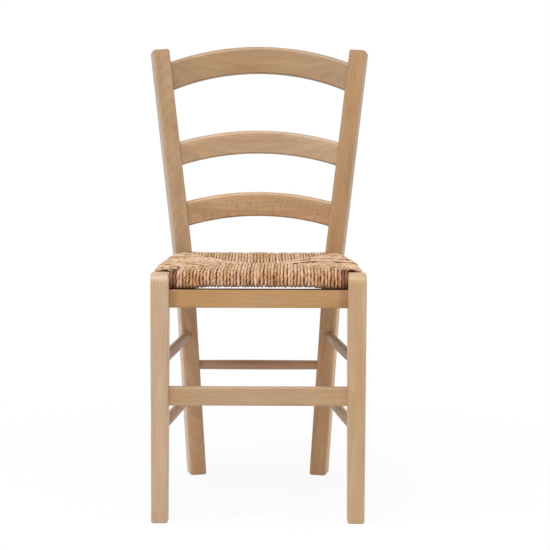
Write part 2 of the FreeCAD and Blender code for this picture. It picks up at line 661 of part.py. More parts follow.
def build_chair():
    """Every piece of the chair, under its own name."""
    pieces = {}
    leg = leg_blank()
    post = post_foot(post_blank("post_blank"))
    posts = several("posts_whole", [post, mirrored("post_twin", post)])
    right_hosts = several("right_hosts", [leg, post])
    leg_holes = []
    post_holes = []

    for slat in ("top_slat", "middle_slat", "lower_slat"):
        trimmed = join(f"{slat}_trimmed", "Cut", slat_board(slat), posts)
        tenon = slat_tenon(f"{slat}_tenon", slat)
        pieces[slat] = several(slat, [trimmed, tenon, mirrored(f"{slat}_tenon_twin", tenon)])
        grow = (TENON_GROW, "sizes.mortise_end_clearance")
        post_holes.append(slat_tenon(f"{slat}_mortise", slat, *grow))

    flat = ("sizes.rail_thick", "sizes.rail_round", RAIL_Y, "sizes.rail_shoulder",
            "sizes.rail_tenon_thick", "0")
    pieces["front_apron"], hole = front_rail_parts(
        "front_apron", APRON_TOP, "sizes.apron_high", *flat)
    leg_holes.append(hole)
    pieces["front_stretcher"], hole = front_rail_parts(
        "front_stretcher", "sizes.front_stretcher_top", "sizes.front_stretcher_high", *flat)
    leg_holes.append(hole)

    seat_shoulder = "((sizes.seat_rail_high - sizes.seat_tenon_thick) / 2)"
    seat_front_y = f"({FRONT_Y} + sizes.front_rail_recess + sizes.front_rail_deep / 2)"
    pieces["seat_rail_front"], hole = front_rail_parts(
        "seat_rail_front", SEAT_TOP, "sizes.seat_rail_high", "sizes.front_rail_deep",
        "sizes.seat_rail_round", seat_front_y, seat_shoulder, "sizes.seat_tenon_thick",
        "sizes.cross_rail_tip_short")
    leg_holes.append(hole)

    rear_place = {"y": post_y(RAIL_Z), "z": RAIL_Z}
    pieces["seat_rail_rear"], hole = seat_bar(
        "seat_rail_rear", rear_place, f"(2 * {post_x(RAIL_Z)})", "(sizes.rear_rail_deep / 2)", False, posts,
        "sizes.cross_rail_tip_short")
    post_holes.append(hole)

    side_rail_place, side_rail_length = side_place(RAIL_Z, "sizes.side_rail_out")
    side_rail, hole = seat_bar(
        "seat_rail_right", side_rail_place, side_rail_length, "(sizes.side_rail_wide / 2)", True,
        right_hosts, "sizes.side_rail_tip_short")
    pieces["seat_rail_right"] = side_rail
    pieces["seat_rail_left"] = mirrored("seat_rail_left", side_rail)
    leg_holes.append(hole)
    post_holes.append(hole)

    for level in ("upper_side", "lower_side"):
        place, length = side_place(f"sizes.{level}_height")
        name = f"{level}_stretcher"
        bar, hole = turned_bar(f"{name}_right", place, length, "sizes.side_stretcher_thick")
        pieces[f"{name}_right"] = bar
        pieces[f"{name}_left"] = mirrored(f"{name}_left", bar)
        leg_holes.append(hole)
        post_holes.append(hole)

    height = "sizes.rear_stretcher_height"
    rear_bar_place = {"y": post_y(height), "z": height}
    pieces["rear_stretcher"], hole = turned_bar(
        "rear_stretcher", rear_bar_place, f"(2 * {post_x(height)})", "sizes.rear_stretcher_thick")
    post_holes.append(hole)

    leg_right = join("front_leg_right", "Cut", leg, several("leg_mortises", leg_holes))
    pieces["front_leg_right"] = leg_right
    pieces["front_leg_left"] = mirrored("front_leg_left", leg_right)
    post_right = join("rear_post_right", "Cut", post, several("post_mortises", post_holes))
    pieces["rear_post_right"] = post_right
    pieces["rear_post_left"] = mirrored("rear_post_left", post_right)

    wide_post = post_blank("post_notch", "sizes.rush_clearance")
    post_notches = several("post_notches", [wide_post, mirrored("post_notch_twin", wide_post)])
    pieces["rush_seat"] = rush_seat(leg_notches(), post_notches)
    pieces["seat_stuffing"] = seat_stuffing()
    return pieces


pieces = build_chair()
doc.recompute()

# Nothing is written unless every feature and every piece is sound
broken = [thing.Name for thing in doc.Objects if {"Invalid", "Error"} & set(thing.State)]
if broken:
    raise RuntimeError(f"failed features: {broken}")
for name, piece in pieces.items():
    piece.Label = name
    shape = piece.Shape
    if shape.isNull() or not shape.isValid() or len(shape.Solids) != 1:
        raise RuntimeError(f"{name}: {len(shape.Solids)} solids, valid {shape.isValid()}")

os.makedirs("parts", exist_ok=True)
for name, piece in pieces.items():
    piece.Shape.exportStep(f"parts/{name}.step")
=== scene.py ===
import math
import random

import bpy
from mathutils import Matrix, Vector


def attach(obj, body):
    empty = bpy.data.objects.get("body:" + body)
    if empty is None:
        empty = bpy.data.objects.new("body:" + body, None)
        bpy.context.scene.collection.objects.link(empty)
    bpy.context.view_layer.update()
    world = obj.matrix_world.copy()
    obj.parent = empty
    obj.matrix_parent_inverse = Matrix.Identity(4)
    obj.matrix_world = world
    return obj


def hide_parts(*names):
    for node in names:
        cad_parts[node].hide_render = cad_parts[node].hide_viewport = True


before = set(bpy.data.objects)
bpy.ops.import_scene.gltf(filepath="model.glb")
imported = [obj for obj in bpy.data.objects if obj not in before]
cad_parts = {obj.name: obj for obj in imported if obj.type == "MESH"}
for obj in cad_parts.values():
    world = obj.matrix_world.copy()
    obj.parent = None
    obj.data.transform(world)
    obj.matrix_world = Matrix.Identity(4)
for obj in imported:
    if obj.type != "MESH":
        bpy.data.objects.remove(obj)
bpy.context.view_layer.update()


# The front legs. Square beech, straight in the grain, planed and lacquered satin; the top front
# edge is rounded over. The grain runs up the leg, and each leg is from a different board.
def linear(red, green, blue):
    """A colour in the shader's linear values from its usual 0 to 255 numbers."""
    values = []
    for number in (red, green, blue):
        part = number / 255
        values.append(part / 12.92 if part <= 0.04045 else ((part + 0.055) / 1.055) ** 2.4)
    return (*values, 1.0)


def add(tree, kind, inputs=None, **settings):
    """A node of a kind with its settings; its inputs are numbers or other nodes' outputs."""
    node = tree.nodes.new(kind)
    for name, value in settings.items():
        setattr(node, name, value)
    for key, value in (inputs or {}).items():
        socket = node.inputs[key]
        if isinstance(value, bpy.types.NodeSocket):
            tree.links.new(value, socket)
        else:
            socket.default_value = value
    return node


def maths(tree, operation, first, second=0.0, clamp=False):
    """One sum of two values."""
    node = add(tree, "ShaderNodeMath", {0: first, 1: second}, operation=operation, use_clamp=clamp)
    return node.outputs[0]


def ramp(tree, value, stops):
    """A colour ramp through stops of (place, colour)."""
    node = add(tree, "ShaderNodeValToRGB", {"Fac": value})
    elements = node.color_ramp.elements
    while len(elements) < len(stops):
        elements.new(0.5)
    for element, (place, shade) in zip(elements, stops):
        element.position = place
        element.color = shade
    return node.outputs["Color"]


def mix(tree, factor, first, second, blend="MIX"):
    """Lays the second colour over the first, as strongly as the factor."""
    node = add(tree, "ShaderNodeMix", data_type="RGBA", blend_type=blend)
    for index, value in ((0, factor), (6, first), (7, second)):
        if isinstance(value, bpy.types.NodeSocket):
            tree.links.new(value, node.inputs[index])
        else:
            node.inputs[index].default_value = value
    return node.outputs[2]


def fade(tree, value, start, stop, low=0.0, high=1.0):
    """Goes from low to high while the value goes from start to stop, and holds at both ends."""
    return add(tree, "ShaderNodeMapRange", {"Value": value, "From Min": start, "From Max": stop,
                                            "To Min": low, "To Max": high}).outputs["Result"]


def noise(tree, where, scale=1.0, detail=2.0, roughness=0.5):
    """Soft random mottling between 0 and 1."""
    return add(tree, "ShaderNodeTexNoise", {"Vector": where, "Scale": scale, "Detail": detail,
                                            "Roughness": roughness}).outputs["Fac"]


def normal_of(tree):
    """The x, y and z of the way that a surface faces."""
    facing = add(tree, "ShaderNodeNewGeometry").outputs["Normal"]
    return add(tree, "ShaderNodeSeparateXYZ", {0: facing}).outputs


def place_on(tree):
    """The x, y and z of a point of the piece."""
    place = add(tree, "ShaderNodeTexCoord").outputs["Object"]
    return add(tree, "ShaderNodeSeparateXYZ", {0: place}).outputs


def stretched(tree, source, along, across, shift=(0, 0, 0)):
    """Wood coordinates scaled along the grain and across it, for one layer of figure."""
    return add(tree, "ShaderNodeMapping", {"Vector": source, "Scale": (along, across, across),
                                           "Location": shift}).outputs["Vector"]


UP_THE_PIECE = (0, math.radians(90), 0)
ACROSS_THE_CHAIR = (0, 0, 0)
FRONT_TO_BACK = (0, 0, math.radians(90))
REDDER = (1.03, 0.94, 0.84, 1)
# The pale grey of a painted reflection on the outer sides of legs and posts
PAINTED_SIDE_REFLECTION = linear(196, 184, 172)


def beech(name, grain, pith, light, dark, seed, rings=0.35, flecks=0.5, blotches=0.5, side_reflection=0.0,
          spacing=0.005, stretch=0.04, sheen=1.0):
    """Lacquered beech. grain turns the figure along the piece, pith is where the tree's heart lay,
    spacing is between growth rings, and stretch draws them out along the grain."""
    material = bpy.data.materials.new(name)
    material.use_nodes = True
    tree = material.node_tree
    shader = tree.nodes["Principled BSDF"]
    place = add(tree, "ShaderNodeTexCoord").outputs["Object"]
    turned = add(tree, "ShaderNodeMapping", {"Vector": place, "Rotation": grain,
                                             "Location": (seed * 0.37, 0, 0)}).outputs["Vector"]

    # Growth rings round the pith, drawn out along the grain and gently wandering
    wander = add(tree, "ShaderNodeTexNoise", {"Vector": stretched(tree, turned, 3.5, 16, (seed, 0, 0)),
                                              "Scale": 1.0, "Detail": 2.0})
    moved = add(tree, "ShaderNodeVectorMath", {0: wander.outputs["Color"], 1: (0.5, 0.5, 0.5)},
                operation="SUBTRACT").outputs[0]
    shifted = add(tree, "ShaderNodeVectorMath", {0: moved, "Scale": 0.016}, operation="SCALE").outputs[0]
    wandering = add(tree, "ShaderNodeVectorMath", {0: turned, 1: shifted}, operation="ADD").outputs[0]
    ringed = add(tree, "ShaderNodeMapping", {"Vector": wandering, "Location": pith,
                                             "Scale": (stretch, 1, 1)}).outputs["Vector"]
    rings_wave = add(tree, "ShaderNodeTexWave",
                     {"Vector": ringed, "Scale": 0.314 / spacing, "Distortion": 1.6, "Detail": 3.0,
                      "Detail Scale": 1.2, "Detail Roughness": 0.6},
                     wave_type="RINGS", rings_direction="X", wave_profile="SAW").outputs["Fac"]
    # Broad bands of tone, such as boards have from end to end
    tone = noise(tree, stretched(tree, turned, 6, 42, (seed * 3, 1, 2)), detail=3.0, roughness=0.55)
    # Fine pores and silk
    silk = noise(tree, stretched(tree, turned, 26, 620, (seed, 4, 1)), detail=4.0, roughness=0.62)
    # The short dark flecks of beech
    dashes = add(tree, "ShaderNodeTexVoronoi", {"Vector": stretched(tree, turned, 170, 760, (seed, 2, 5)),
                                                "Scale": 1.0, "Randomness": 1.0}).outputs["Distance"]
    fleck = fade(tree, dashes, 0.34, 0.12, 0.0, flecks)

    bands = maths(tree, "MULTIPLY", fade(tree, tone, 0.32, 0.68), blotches)
    ring_share = maths(tree, "MULTIPLY", rings_wave, rings)
    silk_wide = fade(tree, silk, 0.3, 0.7, 0.0, 0.34)
    figure = maths(tree, "ADD", maths(tree, "ADD", bands, ring_share), silk_wide, True)
    base = ramp(tree, figure, [(0.0, light), (1.0, dark)])
    # Boards run a little redder and a little greyer from place to place
    warmth = noise(tree, stretched(tree, turned, 5, 34, (seed * 5, 7, 3)))
    redder = fade(tree, warmth, 0.40, 0.68)
    base = mix(tree, redder, base, REDDER, "MULTIPLY")
    fleck_tone = (dark[0] * 0.42, dark[1] * 0.36, dark[2] * 0.32, 1)
    finished = mix(tree, fleck, base, fleck_tone)
    if side_reflection:
        # Painted reflection: the outer sides are made paler and greyer, as a grazing sheen makes them; the
        # sign of the argument is their side in x
        outer = maths(tree, "MULTIPLY", normal_of(tree)["X"], math.copysign(1, side_reflection))
        finished = mix(tree, fade(tree, outer, 0.35, 0.85, 0.0, abs(side_reflection)), finished, PAINTED_SIDE_REFLECTION)
    tree.links.new(finished, shader.inputs["Base Color"])

    gloss = fade(tree, silk, 0.0, 1.0, 0.34, 0.52)
    tree.links.new(gloss, shader.inputs["Roughness"])
    relief = maths(tree, "SUBTRACT", silk, fleck)
    bump = add(tree, "ShaderNodeBump", {"Height": relief, "Strength": 0.12, "Distance": 0.0004})
    tree.links.new(bump.outputs["Normal"], shader.inputs["Normal"])
    shader.inputs["Specular IOR Level"].default_value = 0.4 * sheen
    shader.inputs["Coat Weight"].default_value = 0.5 * sheen
    shader.inputs["Coat Roughness"].default_value = 0.36
    return material


def local_tone(material, share_of_place, shade):
    """Multiplies part of a finish by a shade. share_of_place says how strongly at each point, from
    the x, y and z of the point and of the way that the surface faces there."""
    tree = material.node_tree
    shader = tree.nodes["Principled BSDF"]
    under = shader.inputs["Base Color"].links[0].from_socket
    parts = place_on(tree)
    toned = mix(tree, share_of_place(tree, parts, normal_of(tree)), under, shade, "MULTIPLY")
    tree.links.new(toned, shader.inputs["Base Color"])
    return material


def finish_node(name, material):
    """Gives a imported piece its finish."""
    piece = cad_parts[name]
    piece.data.materials.clear()
    piece.data.materials.append(material)


# Each front leg's outer side gets a painted reflection, paler and greyer.
finish_node("front_leg_left",
            beech("beech_leg_left", UP_THE_PIECE, (0, 0.05, 0.09), linear(195, 170, 142),
                  linear(171, 138, 105), 1.3, rings=0.3, flecks=0.35, side_reflection=-0.5))
finish_node("front_leg_right",
            beech("beech_leg_right", UP_THE_PIECE, (0, -0.06, 0.08), linear(193, 164, 128),
                  linear(172, 137, 96), 2.7, rings=0.3, flecks=0.35, side_reflection=0.5))


# The rear posts. Sawn from wide beech boards along one long bend, so the grain runs through the
# bend. The left one's outer side has a little painted reflection, paler and greyer; below the seat
# both posts are brightened with painted light.
def lit_below_the_seat(tree, parts, normal):
    """The lower half of a post, brightened with painted light where the seat shades it."""
    return fade(tree, parts["Z"], 0.45, 0.40)


left_post_finish = beech("beech_post_left", UP_THE_PIECE, (0, 0.07, -0.05), linear(174, 146, 110),
                         linear(148, 114, 79), 3.9, rings=0.3, flecks=0.7, side_reflection=-0.16)
right_post_finish = beech("beech_post_right", UP_THE_PIECE, (0, -0.05, 0.06), linear(171, 137, 93),
                          linear(144, 107, 66), 5.1, rings=0.3, flecks=0.4)
# Painted light: both posts are made paler below the seat.
finish_node("rear_post_left", local_tone(left_post_finish, lit_below_the_seat, (1.34, 1.28, 1.34, 1)))
finish_node("rear_post_right", local_tone(right_post_finish, lit_below_the_seat, (1.36, 1.30, 1.38, 1)))


# The three slats. Flat-sawn beech, bent and arched, tenoned into the posts; flat sawing leaves
# long pointed arcs of grain on their faces.
ARCH_DROP = 0.93
# The paler tone of the painted highlight on the slats' rounded top edges
PAINTED_HIGHLIGHT = (1.16, 1.24, 1.36, 1)


def highlit_top_edge(crown):
    """A painted highlight along the rounded upper edge of a slat; crown is how high the middle of its arch
    stands.
    The arch drops from there by ARCH_DROP times the square of the distance from the middle."""
    def share(tree, parts, normal):
        drop = maths(tree, "MULTIPLY", maths(tree, "MULTIPLY", parts["X"], parts["X"]), ARCH_DROP)
        depth = maths(tree, "SUBTRACT", maths(tree, "SUBTRACT", crown, drop), parts["Z"])
        return fade(tree, depth, 0.0125, 0.002)
    return share


top_finish = beech("beech_top_slat", ACROSS_THE_CHAIR, (-0.25, -0.17, -0.815), linear(161, 133, 95),
                   linear(135, 102, 68), 6.4, rings=0.26, flecks=0.3, spacing=0.011, stretch=0.2)
# Painted highlight: the rounded top edge of each slat is made paler, as the light above catches it.
finish_node("top_slat", local_tone(top_finish, highlit_top_edge(0.8775), PAINTED_HIGHLIGHT))


def highlit_right_end(tree, parts, normal):
    """A painted highlight on the right end of the middle slat."""
    return fade(tree, parts["X"], 0.04, 0.12)


middle_finish = beech("beech_middle_slat", ACROSS_THE_CHAIR, (0, -0.15, -0.655), linear(180, 153, 120),
                      linear(150, 116, 82), 7.2, rings=0.24, flecks=0.35, spacing=0.010, stretch=0.16)
middle_finish = local_tone(middle_finish, highlit_right_end, (1.05, 1.09, 1.18, 1))
finish_node("middle_slat", local_tone(middle_finish, highlit_top_edge(0.7062), PAINTED_HIGHLIGHT))


def ray_ticks(tree, parts, normal):
    """Short upright brown ticks of ray along the lower half of the lower slat."""
    across = maths(tree, "MULTIPLY", parts["X"], 330.0)
    upright = maths(tree, "MULTIPLY", parts["Z"], 42.0)
    spot = add(tree, "ShaderNodeCombineXYZ", {"X": across, "Y": 3.0, "Z": upright}).outputs[0]
    ticks = noise(tree, spot, detail=1.0)
    dark = fade(tree, ticks, 0.60, 0.72)
    low = fade(tree, parts["Z"], 0.566, 0.552)
    return maths(tree, "MULTIPLY", dark, low)


lower_finish = beech("beech_lower_slat", ACROSS_THE_CHAIR, (0, -0.13, -0.50), linear(185, 150, 108),
                     linear(152, 114, 75), 8.8, rings=0.24, flecks=0.9, spacing=0.009, stretch=0.14)
lower_finish = local_tone(lower_finish, ray_ticks, (0.66, 0.50, 0.42, 1))
finish_node("lower_slat", local_tone(lower_finish, highlit_top_edge(0.582), PAINTED_HIGHLIGHT))


# The apron and the stretcher below it. Flat beech rails between the front legs, tenoned into them
# and glued. The apron closes the front just under the rush.
def near_the_legs(tree, parts, normal):
    """The ends of the apron, in the shade of the legs."""
    away = maths(tree, "ABSOLUTE", parts["X"])
    return fade(tree, away, 0.142, 0.150)


def shaded_top(tree, parts, normal):
    """The top of the apron, darkened with painted shade where the rush above shades it."""
    return fade(tree, normal["Z"], 0.55, 0.85)


apron_finish = beech("beech_apron", ACROSS_THE_CHAIR, (0, 0.28, -0.37), linear(186, 151, 108),
                     linear(164, 125, 83), 9.5, rings=0.32, flecks=0.3, sheen=0.4)
apron_finish = local_tone(apron_finish, near_the_legs, (0.84, 0.78, 0.82, 1))
finish_node("front_apron", local_tone(apron_finish, shaded_top, (0.30, 0.22, 0.16, 1)))
finish_node("front_stretcher",
            beech("beech_front_stretcher", ACROSS_THE_CHAIR, (0, 0.27, -0.2), linear(185, 154, 120),
                  linear(163, 130, 94), 10.3, rings=0.3, flecks=0.3))

# The turned stretchers. Round beech bars that swell from their tenons to the middle, two on each
# side between leg and post and one between the posts.
side_finish = beech("beech_side_stretchers", FRONT_TO_BACK, (0, 0.1, -0.25), linear(186, 150, 116),
                    linear(154, 116, 84), 11.6, rings=0.3, sheen=0.3)
for level in ("upper", "lower"):
    for side in ("left", "right"):
        finish_node(f"{level}_side_stretcher_{side}", side_finish)
finish_node("rear_stretcher",
            beech("beech_rear_stretcher", ACROSS_THE_CHAIR, (0, -0.1, -0.2), linear(186, 149, 117),
                  linear(162, 122, 94), 12.2, rings=0.3, sheen=0.6))

# The seat rails. Plain beech bars inside the rush, left unlacquered, tenoned into the legs and
# posts before the seat is wound on them.
hidden_finish = beech("beech_seat_rails", ACROSS_THE_CHAIR, (0, 0.1, -0.4), linear(150, 118, 86),
                      linear(120, 90, 62), 13.1)
for rail in ("front", "rear", "left", "right"):
    finish_node(f"seat_rail_{rail}", hidden_finish)


# The packing. Dry rush offcuts pushed between the two layers of the seat as it is wound, so that
# it stays firm. They look dark in the gaps between strands.
def stuffing_finish():
    material = bpy.data.materials.new("rush_packing")
    material.use_nodes = True
    tree = material.node_tree
    shader = tree.nodes["Principled BSDF"]
    place = add(tree, "ShaderNodeTexCoord").outputs["Object"]
    straws = noise(tree, stretched(tree, place, 60, 420), detail=4.0, roughness=0.7)
    shade = ramp(tree, straws, [(0.3, linear(52, 34, 20)), (0.7, linear(118, 88, 56))])
    tree.links.new(shade, shader.inputs["Base Color"])
    bump = add(tree, "ShaderNodeBump", {"Height": straws, "Strength": 0.8, "Distance": 0.002})
    tree.links.new(bump.outputs["Normal"], shader.inputs["Normal"])
    shader.inputs["Roughness"].default_value = 0.9
    return material


finish_node("seat_stuffing", stuffing_finish())

# The rush seat. Twisted strands of rush, two leaves to a strand, wound over the four rails in
# turn; each strand comes up round its rail, lies flat to the mitre and dips under its neighbour.
SEAT_TOP = 0.4542
RAIL_HIGH = 0.019
STRAND = 0.00605
FULLNESS = 0.545
LAYER = 0.0060
FRONT_FACE = -0.2355
CORNER_FRONT = Vector((0.1770, -0.2200))
CORNER_REAR = Vector((0.1526, 0.1310))
SEAM_END = Vector((0.038, -0.045))
SIDE_AT_FRONT = 0.1898
SIDE_AT_REAR = 0.1685
SIDE_BOW = 0.0075
LEG_INNER = 0.1598
LEG_BACK = -0.2015
REAR_FACE = 0.1515
POST_INNER = 0.1335
POST_FRONT = 0.1145


def crossing(first, second, along, value):
    """Where the line between two plan points reaches a value of x (0) or y (1): the other one."""
    share = (value - first[along]) / (second[along] - first[along])
    other = 1 - along
    return first[other] + (second[other] - first[other]) * share


def mitre_reach(field, place):
    """How far inwards a strand of a field runs before it meets the next field."""
    if field in ("front", "rear"):
        corner = CORNER_FRONT if field == "front" else CORNER_REAR
        if abs(place) <= SEAM_END.x:
            return SEAM_END.y
        return crossing(corner, SEAM_END, 0, abs(place))
    corner = CORNER_FRONT if place < SEAM_END.y else CORNER_REAR
    return crossing(corner, SEAM_END, 1, place)


def side_edge(place):
    """The outer edge of the rush over a side rail, bowed a little between leg and post."""
    share = (place - CORNER_FRONT.y) / (CORNER_REAR.y - CORNER_FRONT.y)
    straight = SIDE_AT_FRONT + (SIDE_AT_REAR - SIDE_AT_FRONT) * share
    return straight + SIDE_BOW * 4 * share * (1 - share)


def wrap_line(edge, end, draw, rise, sag, hang):
    """One wrap as (outwards, height) points: from under the seat round the rail to the mitre on top.
    draw pulls the roll inwards, rise lifts the top, sag sinks it and hang lowers the underside."""
    inward = 1 if end > edge else -1
    top = SEAT_TOP + LAYER / 2 + rise
    low = SEAT_TOP - RAIL_HIGH - LAYER / 2 - hang
    nose = edge + inward * (LAYER / 2 + draw)
    reach = abs(end - edge)
    points = [(end, low + 0.009), (end - inward * 0.004, low + 0.002)]
    for share in (0.75, 0.5, 0.25):
        points.append((edge + inward * (0.02 + (reach - 0.02) * share), low - sag * 0.3))
    roll = ((0.0100, low), (0.0050, low + 0.0002), (0.0012, low + 0.0022), (0, low + 0.0065),
            (0, (low + top) / 2), (0.0004, top - 0.0080), (0.0024, top - 0.0030),
            (0.0068, top - 0.0004), (0.0125, top))
    points += [(nose + inward * back, height) for back, height in roll]
    crown = 0.0018
    for share in (0.2, 0.45, 0.7, 0.88):
        lift = crown * math.sin(math.pi * share)
        points.append((edge + inward * (0.012 + (reach - 0.016) * share), top + lift - sag * share ** 3))
    points.append((end - inward * 0.0025, top - 0.0022 - sag))
    points.append((end + inward * 0.002, top - 0.0095))
    return points


def field_places(field, dice):
    """Where a field's strands lie side by side, with the small unevenness of hand winding."""
    if field == "front":
        first, last = -LEG_INNER + STRAND * 0.5, LEG_INNER - STRAND * 0.5
    elif field == "rear":
        first, last = -POST_INNER, POST_INNER
    else:
        first, last = LEG_BACK + STRAND * 0.75, POST_FRONT
    count = round((last - first) / STRAND) + 1
    step = (last - first) / (count - 1)
    return [first + step * number + dice.uniform(-0.06, 0.06) * step for number in range(count)]


def slow_waves(dice, lengths):
    """A gentle unevenness along a rail: the sum of a few long waves, between about -1 and 1."""
    waves = [(length, dice.uniform(0, math.tau)) for length in lengths]

    def height(place):
        return sum(math.sin(place * math.tau / length + phase) for length, phase in waves) / len(waves)
    return height


def bundles(dice):
    """Side strands are pushed up in small bundles: each bundle stands proud at its front strand."""
    starts = [-0.21]
    while starts[-1] < 0.12:
        starts.append(starts[-1] + dice.uniform(0.012, 0.030))
    proud = [dice.uniform(0.5, 1.0) for start in starts]

    def lift(place):
        number = max(index for index, start in enumerate(starts) if start <= place)
        share = (place - starts[number]) / (starts[number + 1] - starts[number])
        return proud[number] * (1 - share)
    return lift


def field_lines(field, dice):
    """Every strand of a field as (tone from brown 0 to cream 1, list of points)."""
    lines = []
    swell = slow_waves(dice, (0.027, 0.041, 0.065))
    shading = slow_waves(dice, (0.023, 0.047, 0.11))
    bundle = bundles(dice)
    for place in field_places(field, dice):
        end = mitre_reach(field, place) + dice.uniform(-0.003, 0.003)
        draw = dice.uniform(-0.0005, 0.0007)
        sag = dice.uniform(0.0, 0.0010)
        drift = dice.uniform(-0.0006, 0.0006)
        hang = dice.uniform(-0.0014, -0.0004)
        if field in ("front", "rear"):
            rise = dice.uniform(-0.0004, 0.0007) + 0.0003 * swell(place)
            tone = 0.52 + 0.14 * shading(place) + dice.uniform(-0.18, 0.18)
        else:
            rise = dice.uniform(-0.0003, 0.0004) + 0.0036 * bundle(place) - 0.0006
            tone = 0.74 + 0.16 * shading(place) + dice.uniform(-0.08, 0.08)
            end += 0.008 * bundle(place) - 0.004
        if field == "front":
            edge = FRONT_FACE
            hang += 0.0036 * min(max((abs(place) - 0.095) / 0.03, 0), 1)
            # The wraps beside each leg are drawn in and given the darkest tone, painted shade where the
            # legs shade them
            if LEG_INNER - abs(place) < 2.1 * STRAND:
                draw += 0.0016
                tone = 0.04
        elif field == "rear":
            edge = REAR_FACE
            rise += 0.0014
        else:
            edge = side_edge(place) + 0.0030 * (bundle(place) - 0.4)
        profile = wrap_line(edge, end, draw, rise, sag, hang)
        roll_over = slow_waves(dice, (0.045, 0.083))
        points = []
        for step, (outwards, height) in enumerate(profile):
            share = step / (len(profile) - 1)
            across = place + drift * math.sin(math.pi * share) + dice.uniform(-0.0003, 0.0003)
            if field in ("left", "right") and height > SEAT_TOP:
                height += 0.0007 * roll_over(outwards)
            if field in ("front", "rear"):
                if field == "front" and height > SEAT_TOP:
                    across += (0.0045 - 0.02 * place) * (outwards - edge) / (end - edge)
                points.append((across, outwards, height))
            else:
                points.append((outwards if field == "right" else -outwards, across, height))
        lines.append((min(max(tone, 0.02), 0.98), points))
    return lines


